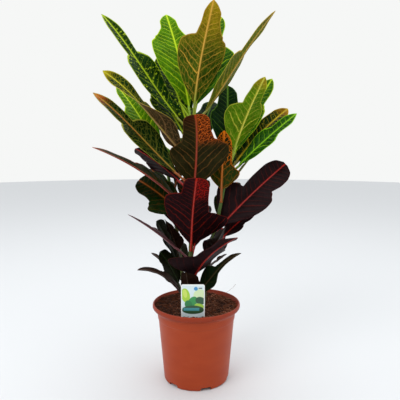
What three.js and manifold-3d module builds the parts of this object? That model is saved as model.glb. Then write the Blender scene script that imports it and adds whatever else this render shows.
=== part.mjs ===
// A potted croton: three leafy stems in peat, in a terracotta coloured nursery pot, with a plant label.
// Millimetres, +Z up. The origin is on the floor at the axis of the pot, and the front is -Y.
// Azimuths are degrees from +X, counter-clockwise as seen from above.
import * as THREE from 'three';
import { mergeVertices } from 'three/addons/utils/BufferGeometryUtils.js';
import Module from 'manifold-3d';

const wasm = await Module();
wasm.setup();

// Space left between pieces that touch.
const GAP = 0.35;

// The pot is a moulded 19 cm nursery pot with a flared lip, a shallow collar and a foot ring.
const POT_HEIGHT = 168;
const RIM_RADIUS = 95;
const WALL = 1.8;
const COLLAR_RADIUS = 84.6;
const COLLAR_TOP = 146;
const COLLAR_BOTTOM = 137;
const COLLAR_STEP = 1;
const BASE_RADIUS = 71;
const POT_SIDES = 48;

// Six notches in the foot ring let water out, each beside a hole in the raised base plate.
const PLATE_BOTTOM = 7.6;
const PLATE_TOP = 9.4;
const NOTCHES = 6;
const FIRST_NOTCH = 227;
const NOTCH_WIDTH = 23;
const NOTCH_HEIGHT = 7;
const DRAIN_RADIUS = 4.5;
const DRAIN_AT = 60;

// The peat lies a little below the rim and climbs the wall slightly.
const SOIL_TOP = 156;
const SOIL_CLIMB = 5;
const SOIL_ROUGHNESS = 1.1;
const SOIL_SIDES = 32;

// The plant label is a thin plastic card with a pointed foot, pushed into the peat before the stems.
const LABEL = { width: 48, top: 229, foot: 112, shoulder: 138, y: -70, x: -6.3, thick: 0.8, corner: 4 };

// Stems: points of the centre line, radius at the soil and at the top.
const STEM_SIDES = 10;
const STEM_RINGS = 14;
const STEMS = {
  A: { points: [[-14, -16, 60], [-12, -16, 260], [-9, -14, 400], [-8, -10, 566]], radius: [5.5, 3.6] },
  B: { points: [[8, 6, 60], [24, 4, 240], [50, 6, 370], [72, 12, 484]], radius: [5.0, 3.2] },
  C: { points: [[-20, 26, 60], [-34, 34, 240], [-50, 44, 360], [-70, 56, 490]], radius: [4.8, 3.0] },
};

// Leaves: blade and leaf stalk thickness, and how far the midrib stands out below the blade.
const BLADE = 0.8;
const STALK_RADIUS = 2.1;
const MIDRIB = 1.6;

// Half a blade, one row for each side vein: where it leaves the midrib and how far along the midrib it
// ends, as shares of the blade's length, then the shares of the lobe, waist and tongue widths it reaches.
const LOBE_END = 0.63;
const VEINS = [
  [0.00, 0.03, 0.10, 0, 0],
  [0.03, 0.14, 0.42, 0, 0],
  [0.09, 0.27, 0.72, 0, 0],
  [0.17, 0.40, 0.93, 0, 0],
  [0.25, 0.51, 1.00, 0, 0],
  [0.33, 0.60, 0.95, 0, 0],
  [0.40, 0.64, 0.78, 0, 0],
  [0.46, 0.665, 0.34, 0.60, 0],
  [0.53, 0.68, 0, 1, 0],
  [0.62, 0.73, 0, 0.5, 0.5],
  [0.71, 0.80, 0, 0, 1],
  [0.80, 0.88, 0, 0, 0.93],
  [0.88, 0.925, 0, 0, 0.72],
  [0.95, 0.966, 0, 0, 0.42],
  [1.00, 1.00, 0, 0, 0.02],
];

// One row for each leaf: name, stem, height on the stem, stalk length, tip, [rise at the base, fall at the
// tip, sway to the right], [roll, twist], fold, left and right half widths [lobe, waist, tongue], and
// [left lobe end, right lobe end, bluntness]. Left and right are as seen from the base with the upper face
// up; angles are degrees.
const LEAVES = [
  ['crown_front', 'A', 558, 34, [34, -70, 778], [12, 6, 0], [28, 0],
    12, [47, 33, 23], [49, 20, 14], [0.65, 0.62, 0]],
  ['crown_left', 'A', 552, 34, [-66, 72, 790], [10, 8, 0], [20, 0],
    10, [54, 36, 22], [36, 26, 17], [0.72, 0.7, 0]],
  ['crown_back', 'A', 556, 34, [54, 50, 779], [10, 8, 0], [-24, 0],
    8, [34, 26, 20], [62, 28, 20], [0.66, 0.6, 0.2]],
  ['spear_right', 'A', 545, 38, [156, -30, 769], [-2, 5, 0], [10, 0],
    6, [42, 17, 17], [40, 17, 17], [0.52, 0.52, 0]],
  ['spear_left', 'A', 534, 38, [-200, 40, 782], [-6, 6, 0], [35, 0],
    14, [34, 14, 16], [31, 13, 15], [0.55, 0.56, 0]],
  ['upright_left', 'A', 522, 36, [-81, 100, 708], [8, 6, 0], [20, 0],
    12, [40, 28, 24], [44, 28, 24], [0.64, 0.64, 0.2]],
  ['inner_left', 'A', 505, 34, [-112, 85, 658], [4, 6, 0], [20, 0],
    12, [36, 24, 20], [42, 24, 20], [0.6, 0.6, 0.1]],
  ['twisted_left', 'A', 476, 28, [-185, -34, 654], [0, 12, 0], [-50, 118],
    12, [56, 24, 20], [44, 20, 20], [0.5, 0.5, 0]],
  ['bud_front', 'A', 560, 8, [-35, -32, 594], [5, 5, 0], [0, 0],
    20, [6, 5, 4], [6, 5, 4], [0.6, 0.6, 0]],
  ['mid_right', 'A', 470, 34, [37, 95, 606], [8, 6, 0], [-10, 0],
    12, [36, 24, 20], [26, 22, 20], [0.62, 0.62, 0.3]],
  ['mid_olive', 'A', 392, 32, [14, 50, 488], [10, 8, 0], [-20, 0],
    12, [26, 17, 18], [26, 17, 18], [0.6, 0.6, 0.3]],
  ['tip_left', 'A', 425, 38, [-211, -10, 614], [-4, 7, 0], [40, 0],
    14, [34, 15, 16], [40, 13, 15], [0.58, 0.54, 0]],
  ['red_front', 'A', 390, 32, [-1, -132, 561], [24, 40, -10], [0, 0],
    10, [68, 36, 27], [54, 30, 26], [0.5, 0.47, 0.8]],
  ['hidden_left', 'A', 412, 34, [-133, 34, 500], [6, 8, 0], [25, 0],
    12, [32, 24, 20], [30, 22, 18], [0.6, 0.6, 0.2]],
  ['knife_left', 'A', 368, 38, [-206, -50, 503], [14, 14, 0], [12, 0],
    14, [34, 16, 14], [34, 16, 14], [0.5, 0.5, 0]],
  ['round_left', 'A', 350, 26, [-125, 25, 432], [6, 8, 0], [45, 0],
    10, [50, 30, 28], [36, 24, 26], [0.48, 0.6, 1]],
  ['maroon_front', 'A', 286, 14, [2, -128, 447], [22, 18, 0], [0, 0],
    10, [78, 34, 30], [58, 26, 24], [0.33, 0.68, 0.9]],
  ['thin_left', 'A', 268, 34, [-141, -30, 365], [8, 8, 0], [-8, 0],
    14, [24, 12, 10], [24, 12, 10], [0.5, 0.5, 0]],
  ['maroon_low', 'A', 222, 14, [80, -95, 330], [20, 15, 0], [10, 0],
    12, [50, 28, 22], [80, 32, 22], [0.5, 0.28, 0.2]],
  ['curled_left', 'A', 174, 26, [-122, -40, 250], [25, 40, 0], [10, 0],
    14, [22, 12, 11], [20, 12, 11], [0.5, 0.5, 0.2]],
  ['broad_low', 'C', 180, 22, [-80, 14, 276], [10, 10, 0], [52, 0],
    10, [34, 26, 20], [29, 24, 20], [0.6, 0.6, 0.6]],
  ['young_left', 'C', 470, 26, [-183, 104, 643], [6, 8, 0], [25, 0],
    10, [38, 22, 18], [38, 19, 17], [0.62, 0.6, 0]],
  ['dark_left', 'C', 230, 28, [-88, 26, 342], [8, 8, 0], [22, 0],
    12, [40, 30, 26], [36, 28, 26], [0.64, 0.64, 0.7]],
  ['sliver_left', 'C', 208, 26, [-104, 62, 262], [8, 10, 0], [0, 0],
    12, [18, 10, 8], [18, 10, 8], [0.5, 0.5, 0]],
  ['right_front', 'B', 470, 30, [135, -50, 640], [8, 6, 0], [20, 0],
    12, [38, 22, 19], [46, 20, 17], [0.62, 0.56, 0]],
  ['right_behind', 'B', 462, 30, [166, 60, 652], [8, 6, 0], [-40, 0],
    12, [24, 15, 17], [28, 16, 18], [0.6, 0.6, 0.1]],
  ['right_dark', 'B', 455, 32, [70, 80, 640], [10, 6, 0], [-10, 0],
    12, [40, 26, 22], [36, 26, 22], [0.6, 0.6, 0.3]],
  ['right_tip', 'B', 448, 32, [203, 66, 588], [10, 8, 0], [-40, 0],
    12, [40, 22, 20], [36, 20, 20], [0.55, 0.55, 0.2]],
  ['right_long', 'B', 440, 32, [207, -10, 572], [4, 4, 0], [-45, 0],
    14, [24, 15, 14], [27, 17, 16], [0.6, 0.6, 0]],
  ['right_edge', 'B', 418, 24, [127, 5, 495], [0, 4, 0], [0, 0],
    8, [11, 7, 6], [11, 7, 6], [0.5, 0.5, 0]],
  ['orange_front', 'B', 386, 28, [56, -48, 536], [16, 10, 0], [10, 0],
    14, [38, 21, 19], [30, 17, 17], [0.32, 0.36, 0]],
  ['maroon_right', 'B', 325, 16, [190, 10, 468], [4, 4, 0], [-60, 0],
    10, [66, 26, 29], [48, 29, 34], [0.41, 0.62, 1]],
  ['maroon_side', 'B', 290, 30, [130, 45, 367], [2, 4, 0], [-35, 0],
    10, [22, 15, 18], [20, 14, 16], [0.5, 0.5, 0.8]],
  ['sliver_right', 'B', 246, 20, [67, 26, 268], [8, 6, 0], [0, 0],
    12, [8, 5, 4], [8, 5, 4], [0.5, 0.5, 0]],
  ['low_right', 'A', 186, 16, [91, -62, 291], [-6, 22, 0], [-66, 30],
    12, [26, 11, 8], [24, 10, 7], [0.44, 0.44, 0]],
  ['back_high', 'A', 500, 36, [-62, 120, 628], [12, 10, 0], [0, 0],
    12, [38, 26, 22], [34, 26, 22], [0.6, 0.6, 0.3]],
  ['back_mid', 'A', 440, 36, [6, 128, 545], [12, 10, 0], [0, 0],
    12, [42, 26, 22], [42, 26, 22], [0.6, 0.6, 0.3]],
  ['back_red', 'A', 340, 36, [-2, 128, 460], [14, 12, 0], [0, 0],
    12, [38, 26, 24], [38, 26, 24], [0.55, 0.55, 0.6]],
  ['back_low', 'A', 262, 32, [24, 115, 365], [14, 12, 0], [0, 0],
    12, [28, 20, 18], [28, 20, 18], [0.55, 0.55, 0.6]],
  ['back_right', 'B', 420, 34, [112, 128, 552], [12, 10, 0], [0, 0],
    12, [40, 24, 20], [40, 24, 20], [0.58, 0.58, 0.3]],
  ['back_right_mid', 'B', 322, 32, [96, 118, 420], [12, 10, 0], [0, 0],
    12, [30, 20, 18], [32, 20, 18], [0.55, 0.55, 0.6]],
  ['back_right_low', 'B', 232, 28, [62, 105, 312], [12, 12, 0], [0, 0],
    12, [30, 20, 18], [30, 20, 18], [0.5, 0.5, 0.5]],
  ['back_left', 'C', 420, 32, [-92, 130, 508], [12, 10, 0], [0, 0],
    12, [36, 24, 20], [36, 24, 20], [0.6, 0.6, 0.2]],
  ['back_left_mid', 'C', 345, 32, [-108, 122, 452], [12, 10, 0], [0, 0],
    12, [34, 22, 20], [34, 22, 20], [0.55, 0.55, 0.5]],
  ['back_left_low', 'C', 300, 30, [-50, 132, 388], [12, 12, 0], [0, 0],
    12, [36, 22, 20], [34, 22, 20], [0.55, 0.55, 0.6]],
  ['back_base', 'C', 205, 26, [-40, 112, 276], [12, 12, 0], [0, 0],
    12, [28, 18, 16], [28, 18, 16], [0.5, 0.5, 0.5]],
  ['low_front', 'A', 162, 12, [-20, -60, 250], [10, 10, 0], [12, 0],
    10, [34, 28, 24], [18, 16, 14], [0.6, 0.6, 0.8]],
  ['inner_low', 'C', 256, 22, [-62, -24, 350], [10, 10, 0], [30, 0],
    12, [30, 24, 20], [28, 24, 20], [0.6, 0.6, 0.5]],
  ['inner_right', 'B', 240, 24, [58, -40, 338], [14, 14, 0], [-15, 0],
    12, [34, 26, 22], [28, 24, 20], [0.55, 0.55, 0.5]],
  ['inner_mid', 'C', 396, 22, [-14, 96, 498], [12, 12, 0], [0, 0],
    12, [17, 15, 13], [22, 18, 15], [0.6, 0.6, 0.3]],
];

const DEG = Math.PI / 180;
const UP = new THREE.Vector3(0, 0, 1);

// Turn a closed geometry into a solid that can be joined and cut, and back.
function toSolid(geometry) {
  const bare = geometry.clone();
  bare.deleteAttribute('normal');
  bare.deleteAttribute('uv');
  const merged = mergeVertices(bare, 1e-4);
  return new wasm.Manifold(new wasm.Mesh({
    numProp: 3,
    vertProperties: new Float32Array(merged.attributes.position.array),
    triVerts: new Uint32Array(merged.index.array),
  }));
}

function toGeometry(solid) {
  const mesh = solid.getMesh();
  const geometry = new THREE.BufferGeometry();
  geometry.setAttribute('position', new THREE.BufferAttribute(new Float32Array(mesh.vertProperties), 3));
  geometry.setIndex(Array.from(mesh.triVerts));
  return geometry;
}

// A closed body from rings of points, all with the same count, ended by flat caps.
function loft(rings) {
  const sides = rings[0].length;
  const positions = rings.flat().flatMap((p) => [p.x, p.y, p.z]);
  const index = [];
  for (let k = 0; k + 1 < rings.length; k += 1) {
    for (let j = 0; j < sides; j += 1) {
      const a = k * sides + j;
      const b = k * sides + (j + 1) % sides;
      index.push(a, b, b + sides, a, b + sides, a + sides);
    }
  }
  const last = (rings.length - 1) * sides;
  for (let j = 1; j + 1 < sides; j += 1) {
    index.push(0, j + 1, j);
    index.push(last, last + j, last + j + 1);
  }
  const geometry = new THREE.BufferGeometry();
  geometry.setAttribute('position', new THREE.Float32BufferAttribute(positions, 3));
  geometry.setIndex(index);
  return geometry;
}

// A solid of revolution about +Z from a profile of [radius, height] points.
function turned(profile, sides) {
  const points = profile.map(([r, z]) => new THREE.Vector2(r, z));
  const geometry = new THREE.LatheGeometry(points, sides);
  geometry.rotateX(Math.PI / 2);
  return geometry;
}

// Outer and inner radius of the pot's tapered wall at a height.
function wallRadius(z) {
  const share = (z - PLATE_BOTTOM) / (COLLAR_BOTTOM - PLATE_BOTTOM);
  return BASE_RADIUS + share * (COLLAR_RADIUS - 2 * COLLAR_STEP - BASE_RADIUS - 0.6);
}

const INNER_COLLAR = COLLAR_RADIUS - WALL;
const INNER_LIP = [[INNER_COLLAR, COLLAR_TOP], [INNER_COLLAR + 0.8, 150], [87.6, 158], [90.4, 164]];

function pot() {
  const corner = 3;
  const outside = [
    [BASE_RADIUS - corner - WALL, 0], [BASE_RADIUS - corner, 0], [BASE_RADIUS - 0.9, 0.9],
    [BASE_RADIUS, corner], [wallRadius(COLLAR_BOTTOM - 2), COLLAR_BOTTOM - 2],
    [COLLAR_RADIUS - COLLAR_STEP, COLLAR_BOTTOM], [COLLAR_RADIUS, COLLAR_TOP], [85.4, 150.5],
    [87.8, 154], [91.6, 156.6], [94.3, 159.6], [RIM_RADIUS, 163], [94.7, 166.4], [93.4, POT_HEIGHT],
    [91.8, POT_HEIGHT],
  ];
  const inside = [
    ...[...INNER_LIP].reverse(), [wallRadius(COLLAR_BOTTOM - 2) - WALL, COLLAR_BOTTOM - 2],
    [wallRadius(PLATE_TOP) - WALL, PLATE_TOP], [0, PLATE_TOP],
  ];
  const underside = [[0, PLATE_BOTTOM], [BASE_RADIUS - corner - WALL, PLATE_BOTTOM]];
  let body = toSolid(turned([...underside, ...outside, ...inside], POT_SIDES));
  for (let k = 0; k < NOTCHES; k += 1) {
    const turn = (FIRST_NOTCH + k * 360 / NOTCHES) * DEG;
    const notch = new THREE.BoxGeometry(16, NOTCH_WIDTH, 2 * NOTCH_HEIGHT);
    notch.translate(BASE_RADIUS, 0, 0);
    notch.rotateZ(turn);
    body = body.subtract(toSolid(notch));
    const drain = new THREE.CylinderGeometry(DRAIN_RADIUS, DRAIN_RADIUS, 6, 12);
    drain.rotateX(Math.PI / 2);
    drain.translate(DRAIN_AT * Math.cos(turn), DRAIN_AT * Math.sin(turn), PLATE_TOP);
    body = body.subtract(toSolid(drain));
  }
  return toGeometry(body);
}

// Height of the peat at a point: a low uneven crumb that climbs towards the wall.
function soilHeight(x, y, edge) {
  const r = Math.hypot(x, y) / edge;
  const crumb = Math.sin(x * 0.21 + 1.3) * Math.cos(y * 0.17 + 0.4) + 0.6 * Math.sin((x + y) * 0.37);
  return SOIL_TOP + SOIL_CLIMB * r ** 3 + SOIL_ROUGHNESS * crumb * (1 - r ** 6);
}

function soil() {
  const bottom = PLATE_TOP + GAP;
  const edge = 88.6;
  const walls = [
    [wallRadius(PLATE_TOP) - WALL - GAP, bottom],
    [wallRadius(COLLAR_BOTTOM - 2) - WALL - GAP, COLLAR_BOTTOM - 2],
    [INNER_COLLAR - GAP, COLLAR_TOP], [INNER_COLLAR + 0.8 - GAP, 150], [87.6 - GAP, 158],
    [edge, SOIL_TOP + SOIL_CLIMB],
  ];
  const rings = [[0.4, bottom], ...walls];
  const tops = [74, 56, 38, 20, 0.4];
  const points = rings.map(([r, z]) => ring(r, () => z));
  tops.forEach((r) => points.push(ring(r, (x, y) => soilHeight(x, y, edge))));
  let body = toSolid(loft(points.map((p) => p.reverse())));
  Object.values(STEMS).forEach((stem) => {
    body = body.subtract(toSolid(stemTube(stem, GAP)));
  });
  return toGeometry(body.subtract(toSolid(labelPlate(GAP))));
}

// A horizontal ring of points, with its height from a function of x and y.
function ring(radius, height) {
  return Array.from({ length: SOIL_SIDES }, (_, j) => {
    const turn = -j * 2 * Math.PI / SOIL_SIDES;
    const x = radius * Math.cos(turn);
    const y = radius * Math.sin(turn);
    return new THREE.Vector3(x, y, height(x, y));
  });
}

// The label's card, grown by a clearance for the slot that it stands in.
function labelPlate(extra) {
  const { width, top, foot, shoulder, y, x, thick, corner } = LABEL;
  const half = width / 2 + extra;
  const outline = new THREE.Shape();
  outline.moveTo(0, foot - extra);
  outline.lineTo(half, shoulder);
  outline.lineTo(half, top - corner);
  outline.absarc(half - corner, top - corner, corner, 0, Math.PI / 2, false);
  outline.absarc(corner - half, top - corner, corner, Math.PI / 2, Math.PI, false);
  outline.lineTo(-half, shoulder);
  outline.closePath();
  const depth = thick + 2 * extra;
  const plate = new THREE.ExtrudeGeometry(outline, { depth, bevelEnabled: false, curveSegments: 4 });
  plate.rotateX(Math.PI / 2);
  plate.translate(x, y + depth / 2, 0);
  return plate;
}

// Centre, radius and direction of a stem at a height: a smooth curve through the stem's points.
function stemAt(stem, height) {
  const points = stem.points.map((p) => new THREE.Vector3(...p));
  const lowest = points[0].z;
  const highest = points[points.length - 1].z;
  const z = THREE.MathUtils.clamp(height, lowest, highest);
  const k = Math.min(points.findLastIndex((p) => p.z <= z), points.length - 2);
  const pull = (i) => {
    const before = points[Math.max(i - 1, 0)];
    const after = points[Math.min(i + 1, points.length - 1)];
    return after.clone().sub(before).divideScalar(after.z - before.z);
  };
  const span = points[k + 1].z - points[k].z;
  const t = (z - points[k].z) / span;
  const centre = points[k].clone().multiplyScalar(2 * t ** 3 - 3 * t ** 2 + 1);
  centre.addScaledVector(pull(k), span * (t ** 3 - 2 * t ** 2 + t));
  centre.addScaledVector(points[k + 1], -2 * t ** 3 + 3 * t ** 2);
  centre.addScaledVector(pull(k + 1), span * (t ** 3 - t ** 2));
  centre.z = z;
  const slope = pull(k).lerp(pull(k + 1), t).normalize();
  const [wide, slim] = stem.radius;
  return { centre, slope, radius: wide + (slim - wide) * (z - lowest) / (highest - lowest) };
}

function stemTube(stem, extra) {
  const lowest = stem.points[0][2];
  const highest = stem.points[stem.points.length - 1][2];
  const rings = Array.from({ length: STEM_RINGS }, (_, k) => {
    const z = lowest + (highest - lowest) * k / (STEM_RINGS - 1);
    const { centre, radius } = stemAt(stem, z);
    const drop = k === 0 ? extra : 0;
    return Array.from({ length: STEM_SIDES }, (__, j) => {
      const turn = j * 2 * Math.PI / STEM_SIDES;
      const reach = radius + extra;
      return new THREE.Vector3(
        centre.x + reach * Math.cos(turn), centre.y + reach * Math.sin(turn), z - drop);
    });
  });
  return loft(rings);
}

// The midrib of a leaf: a curve from the stem to the tip, and the way the blade faces along it.
function midrib(stem, height, stalk, tip, [rise, fall, sway], [roll, twist]) {
  const { centre, radius, slope } = stemAt(STEMS[stem], height);
  const end = new THREE.Vector3(...tip);
  const out = end.clone().sub(centre).setZ(0).normalize();
  const start = centre.clone().addScaledVector(out, radius + GAP);
  const chord = end.clone().sub(start);
  const length = chord.length();
  const ahead = chord.clone().normalize();
  const right = out.clone().cross(UP).normalize();
  const above = right.clone().cross(ahead).normalize();
  const lifted = (angle) => (
    ahead.clone().multiplyScalar(Math.cos(angle * DEG)).addScaledVector(above, Math.sin(angle * DEG)));
  const first = lifted(rise);
  const last = lifted(-fall);
  const curve = new THREE.CubicBezierCurve3(
    start, start.clone().addScaledVector(first, length * 0.36).addScaledVector(right, sway),
    end.clone().addScaledVector(last, -length * 0.34).addScaledVector(right, sway), end);
  const stalkShare = stalk / curve.getLength();
  const frame = (share) => {
    const at = Math.min(share, 1);
    const tangent = curve.getTangentAt(at);
    const point = curve.getPointAt(at).addScaledVector(tangent, (share - at) * curve.getLength());
    const side = right.clone().addScaledVector(tangent, -right.dot(tangent)).normalize();
    const face = side.clone().cross(tangent);
    const along = Math.max((share - stalkShare) / (1 - stalkShare), 0);
    const turn = (roll * THREE.MathUtils.smoothstep(share, 0, stalkShare) + twist * along) * DEG;
    const acrossTurned = side.clone().multiplyScalar(Math.cos(turn)).addScaledVector(face, Math.sin(turn));
    const faceTurned = face.clone().multiplyScalar(Math.cos(turn)).addScaledVector(side, -Math.sin(turn));
    return { point, across: acrossTurned, face: faceTurned };
  };
  const foot = { point: start, across: slope.clone().cross(out).negate().normalize(), face: slope };
  return { frame, foot, stalkShare };
}

// Stretch the shares of a blade's length so that its lobes end where this leaf's lobes do.
function stretched(share, lobeEnd) {
  if (share < LOBE_END) {
    return share * lobeEnd / LOBE_END;
  }
  return lobeEnd + (share - LOBE_END) * (1 - lobeEnd) / (1 - LOBE_END);
}

// A leaf is one closed body: a round stalk that opens into a thin blade, folded along its midrib.
function leaf([, stem, height, stalk, tip, bend, turn, fold, left, right, [leftEnd, rightEnd, blunt]]) {
  const { frame, foot, stalkShare } = midrib(stem, height, stalk, tip, bend, turn);
  const rings = [];
  const stalkRing = ({ point, across, face }) => (
    [[-0.87, 0.5], [0, 1], [0.87, 0.5], [0.87, -0.5], [0, -1], [-0.87, -0.5]].map(([s, t]) => (
      point.clone().addScaledVector(across, s * STALK_RADIUS).addScaledVector(face, t * STALK_RADIUS))));
  rings.push(stalkRing(foot), stalkRing(frame(stalkShare * 0.5)), stalkRing(frame(stalkShare * 0.94)));
  VEINS.forEach(([from, to, lobe, waist, tongue]) => {
    const bladeFrame = (share, lobeEnd) => frame(stalkShare + (1 - stalkShare) * stretched(share, lobeEnd));
    const middle = bladeFrame(from, (leftEnd + rightEnd) / 2);
    const fullness = tongue > 0 && waist === 0 ? tongue ** (1 - 0.6 * blunt) : tongue;
    const edgePoint = (edge, widths, way) => {
      const width = Math.max(lobe * widths[0] + waist * widths[1] + fullness * widths[2], 0.5);
      return edge.point.clone()
        .addScaledVector(edge.across, way * width * Math.cos(fold * DEG))
        .addScaledVector(edge.face, width * Math.sin(fold * DEG));
    };
    const leftFrame = bladeFrame(to, leftEnd);
    const rightFrame = bladeFrame(to, rightEnd);
    const leftEdge = edgePoint(leftFrame, left, -1);
    const rightEdge = edgePoint(rightFrame, right, 1);
    const above = (p, f) => p.clone().addScaledVector(f.face, BLADE / 2);
    const below = (p, f, more) => p.clone().addScaledVector(f.face, -BLADE / 2 - more);
    const rib = MIDRIB * (1 - 0.8 * from);
    rings.push([
      above(leftEdge, leftFrame), above(middle.point, middle), above(rightEdge, rightFrame),
      below(rightEdge, rightFrame, 0), below(middle.point, middle, rib), below(leftEdge, leftFrame, 0),
    ]);
  });
  return leafBody(rings);
}

// The leaf's rings have six points: left, middle and right above, then right, middle and left below.
// Both faces are split along the same diagonals, so that they never cross.
function leafBody(rings) {
  const positions = rings.flat().flatMap((p) => [p.x, p.y, p.z]);
  const index = [];
  const quad = (a, b, c, d) => index.push(a, b, c, a, c, d);
  for (let k = 0; k + 1 < rings.length; k += 1) {
    const here = 6 * k;
    const next = here + 6;
    [[0, 1], [1, 2], [2, 3], [5, 0]].forEach(([i, j]) => quad(here + i, here + j, next + j, next + i));
    [[3, 4], [4, 5]].forEach(([i, j]) => quad(here + j, next + j, next + i, here + i));
  }
  const last = 6 * (rings.length - 1);
  [[0, 1, 4, 5], [1, 2, 3, 4]].forEach(([a, b, c, d]) => {
    quad(a, d, c, b);
    quad(last + a, last + b, last + c, last + d);
  });
  const geometry = new THREE.BufferGeometry();
  geometry.setAttribute('position', new THREE.Float32BufferAttribute(positions, 3));
  geometry.setIndex(index);
  return geometry;
}

function piece(name, geometry, color, roughness) {
  const material = new THREE.MeshStandardMaterial({ color, roughness, metalness: 0 });
  const mesh = new THREE.Mesh(geometry, material);
  mesh.name = name;
  return mesh;
}

const plant = new THREE.Group();
plant.add(piece('pot', pot(), '#a8482f', 0.45));
plant.add(piece('soil', soil(), '#3a2a20', 0.95));
plant.add(piece('label', labelPlate(0), '#e9f0ee', 0.4));
Object.entries(STEMS).forEach(([key, stem]) => {
  plant.add(piece(`stem_${key.toLowerCase()}`, stemTube(stem, 0), '#6f6a4a', 0.7));
});
LEAVES.forEach((row) => {
  const height = row[2];
  const color = height > 500 ? '#6f9a35' : height > 380 ? '#4d5a2a' : '#4a2226';
  plant.add(piece(`leaf_${row[0]}`, leaf(row), color, 0.35));
});

export default plant;
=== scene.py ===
import math
import random
from bisect import bisect_left

import bmesh
import bpy
from mathutils import Matrix, Vector, noise


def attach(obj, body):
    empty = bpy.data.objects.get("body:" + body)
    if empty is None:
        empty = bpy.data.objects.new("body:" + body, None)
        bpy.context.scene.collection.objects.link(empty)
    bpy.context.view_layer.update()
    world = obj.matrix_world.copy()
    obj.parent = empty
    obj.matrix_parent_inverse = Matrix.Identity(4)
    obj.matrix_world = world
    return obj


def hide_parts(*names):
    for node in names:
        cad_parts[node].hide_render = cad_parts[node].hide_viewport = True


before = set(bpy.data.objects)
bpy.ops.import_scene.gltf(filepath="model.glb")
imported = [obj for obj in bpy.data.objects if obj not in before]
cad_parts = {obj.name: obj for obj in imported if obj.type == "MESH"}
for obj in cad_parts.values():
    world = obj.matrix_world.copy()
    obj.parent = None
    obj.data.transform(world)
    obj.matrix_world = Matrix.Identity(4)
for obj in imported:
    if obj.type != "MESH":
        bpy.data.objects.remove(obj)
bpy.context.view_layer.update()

# The nursery pot: terracotta coloured polypropylene, injection moulded in one piece, with a flared lip,
# a shallow collar, a tapered wall, and six notches in its foot ring beside six drain holes.
MM = 0.001
POT_STEPS = 168
# half sections of the pot, as distance from its axis and height
FOOT = [(66.2, 7.6), (66.2, 0.6), (66.6, 0), (67.8, 0), (69.2, 0.4), (70.3, 1.3), (70.9, 2.6), (71.1, 4.5)]
OUTER_WALL = [(82.35, 134.2), (82.6, 135.4), (83.5, 136.2), (83.75, 137), (84.6, 145.6)]
LIP = [(84.6, 146), (85.3, 150.5), (87.8, 154), (91.6, 156.6), (94.3, 159.6), (95, 163), (94.6, 166.2),
       (93.4, 167.8), (92.4, 168), (91.6, 167.4), (90.4, 164), (87.6, 158), (83.6, 150), (82.8, 146)]
INNER_WALL = [(82.1, 137), (80.55, 135), (69.6, 10.6), (69.0, 9.7), (67.8, 9.4)]
PLATE = [(0, 9.4), (0, 7.2), (3.2, 7.2), (3.6, 7.6), (24, 7.6), (24.6, 7.1), (25.6, 7.1), (26.2, 7.6)]
NOTCH_TURNS = [math.radians(227 + 60 * k) for k in range(6)]
NOTCH_RADIUS = 71
NOTCH_SIZE = (16, 23, 14)
NOTCH_ROUNDING = 2.5
DRAIN_RADIUS = 4.5
DRAIN_AT = 60
DRAIN_MIDDLE = 8.5
DRAIN_DEPTH = 8
TERRACOTTA = '#a8421e'
TERRACOTTA_DEEP = '#a03c1b'
# the colour of the painted shade on the lip
LIP_PAINTED_SHADE = '#862d18'
PEAT_DUST = '#a8654a'


def linear(text):
    """A hex colour as a screen shows it, turned linear."""
    parts = [int(text[k:k + 2], 16) / 255 for k in (1, 3, 5)]
    return [v / 12.92 if v <= 0.04045 else ((v + 0.055) / 1.055) ** 2.4 for v in parts] + [1]


def feed(socket, value):
    """An input gets a plain value, an output, or the first output in use of a node."""
    if isinstance(value, bpy.types.Node):
        value = next(output for output in value.outputs if output.enabled)
    if isinstance(value, bpy.types.NodeSocket):
        socket.id_data.links.new(value, socket)
    else:
        socket.default_value = value


def add(tree, kind, *values, stops=(), **named):
    """A new node. Small letters name a setting and a capital an input, plain values go to the inputs in
    use in their order, and stops are a ramp's places and colours."""
    node = tree.nodes.new('ShaderNode' + kind)
    for key, value in named.items():
        if key[0].islower():
            setattr(node, key, value)
    for socket, value in zip([socket for socket in node.inputs if socket.enabled], values):
        feed(socket, value)
    for key, value in named.items():
        if key[0].isupper():
            feed(node.inputs[key.replace('_', ' ')], value)
    for k, (at, colour) in enumerate(stops):
        stop = node.color_ramp.elements[k] if k < 2 else node.color_ramp.elements.new(at)
        stop.position = at
        stop.color = linear(colour)
    return node


def finish(name, **values):
    """A new material with these values on its shader's own sockets, its tree and its shader."""
    material = bpy.data.materials.new(name)
    material.use_nodes = True
    shader = material.node_tree.nodes['Principled BSDF']
    for key, value in values.items():
        feed(shader.inputs[key.replace('_', ' ')], value)
    return material, material.node_tree, shader


def flowing(points, steps):
    """A smooth line through the points, with this many steps between each two."""
    line = []
    for k in range(len(points) - 1):
        before, here, there, after = (Vector(points[min(max(k + j, 0), len(points) - 1)])
                                      for j in (-1, 0, 1, 2))
        for step in range(steps):
            t = step / steps
            line.append(0.5 * (2 * here + (there - before) * t
                               + (2 * before - 5 * here + 4 * there - after) * t ** 2
                               + (3 * here - before - 3 * there + after) * t ** 3))
    return line + [Vector(points[-1])]


def as_mesh(name, shape):
    """A shape as a mesh. The shape is used up."""
    mesh = bpy.data.meshes.new(name)
    shape.to_mesh(mesh)
    shape.free()
    return mesh


def put(name, data):
    """A new object in the scene."""
    made = bpy.data.objects.new(name, data)
    bpy.context.scene.collection.objects.link(made)
    return made


def cut(shape, cutters):
    """The shape with the cutters taken out of it."""
    target, knife = (put('cutting', as_mesh('cutting', solid)) for solid in (shape, cutters))
    boolean = target.modifiers.new('cut', 'BOOLEAN')
    boolean.operation = 'DIFFERENCE'
    boolean.solver = 'EXACT'
    boolean.object = knife
    bpy.context.view_layer.update()
    result = bmesh.new()
    result.from_object(target, bpy.context.evaluated_depsgraph_get())
    for used in (target, knife):
        bpy.data.objects.remove(used)
    return result


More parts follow.
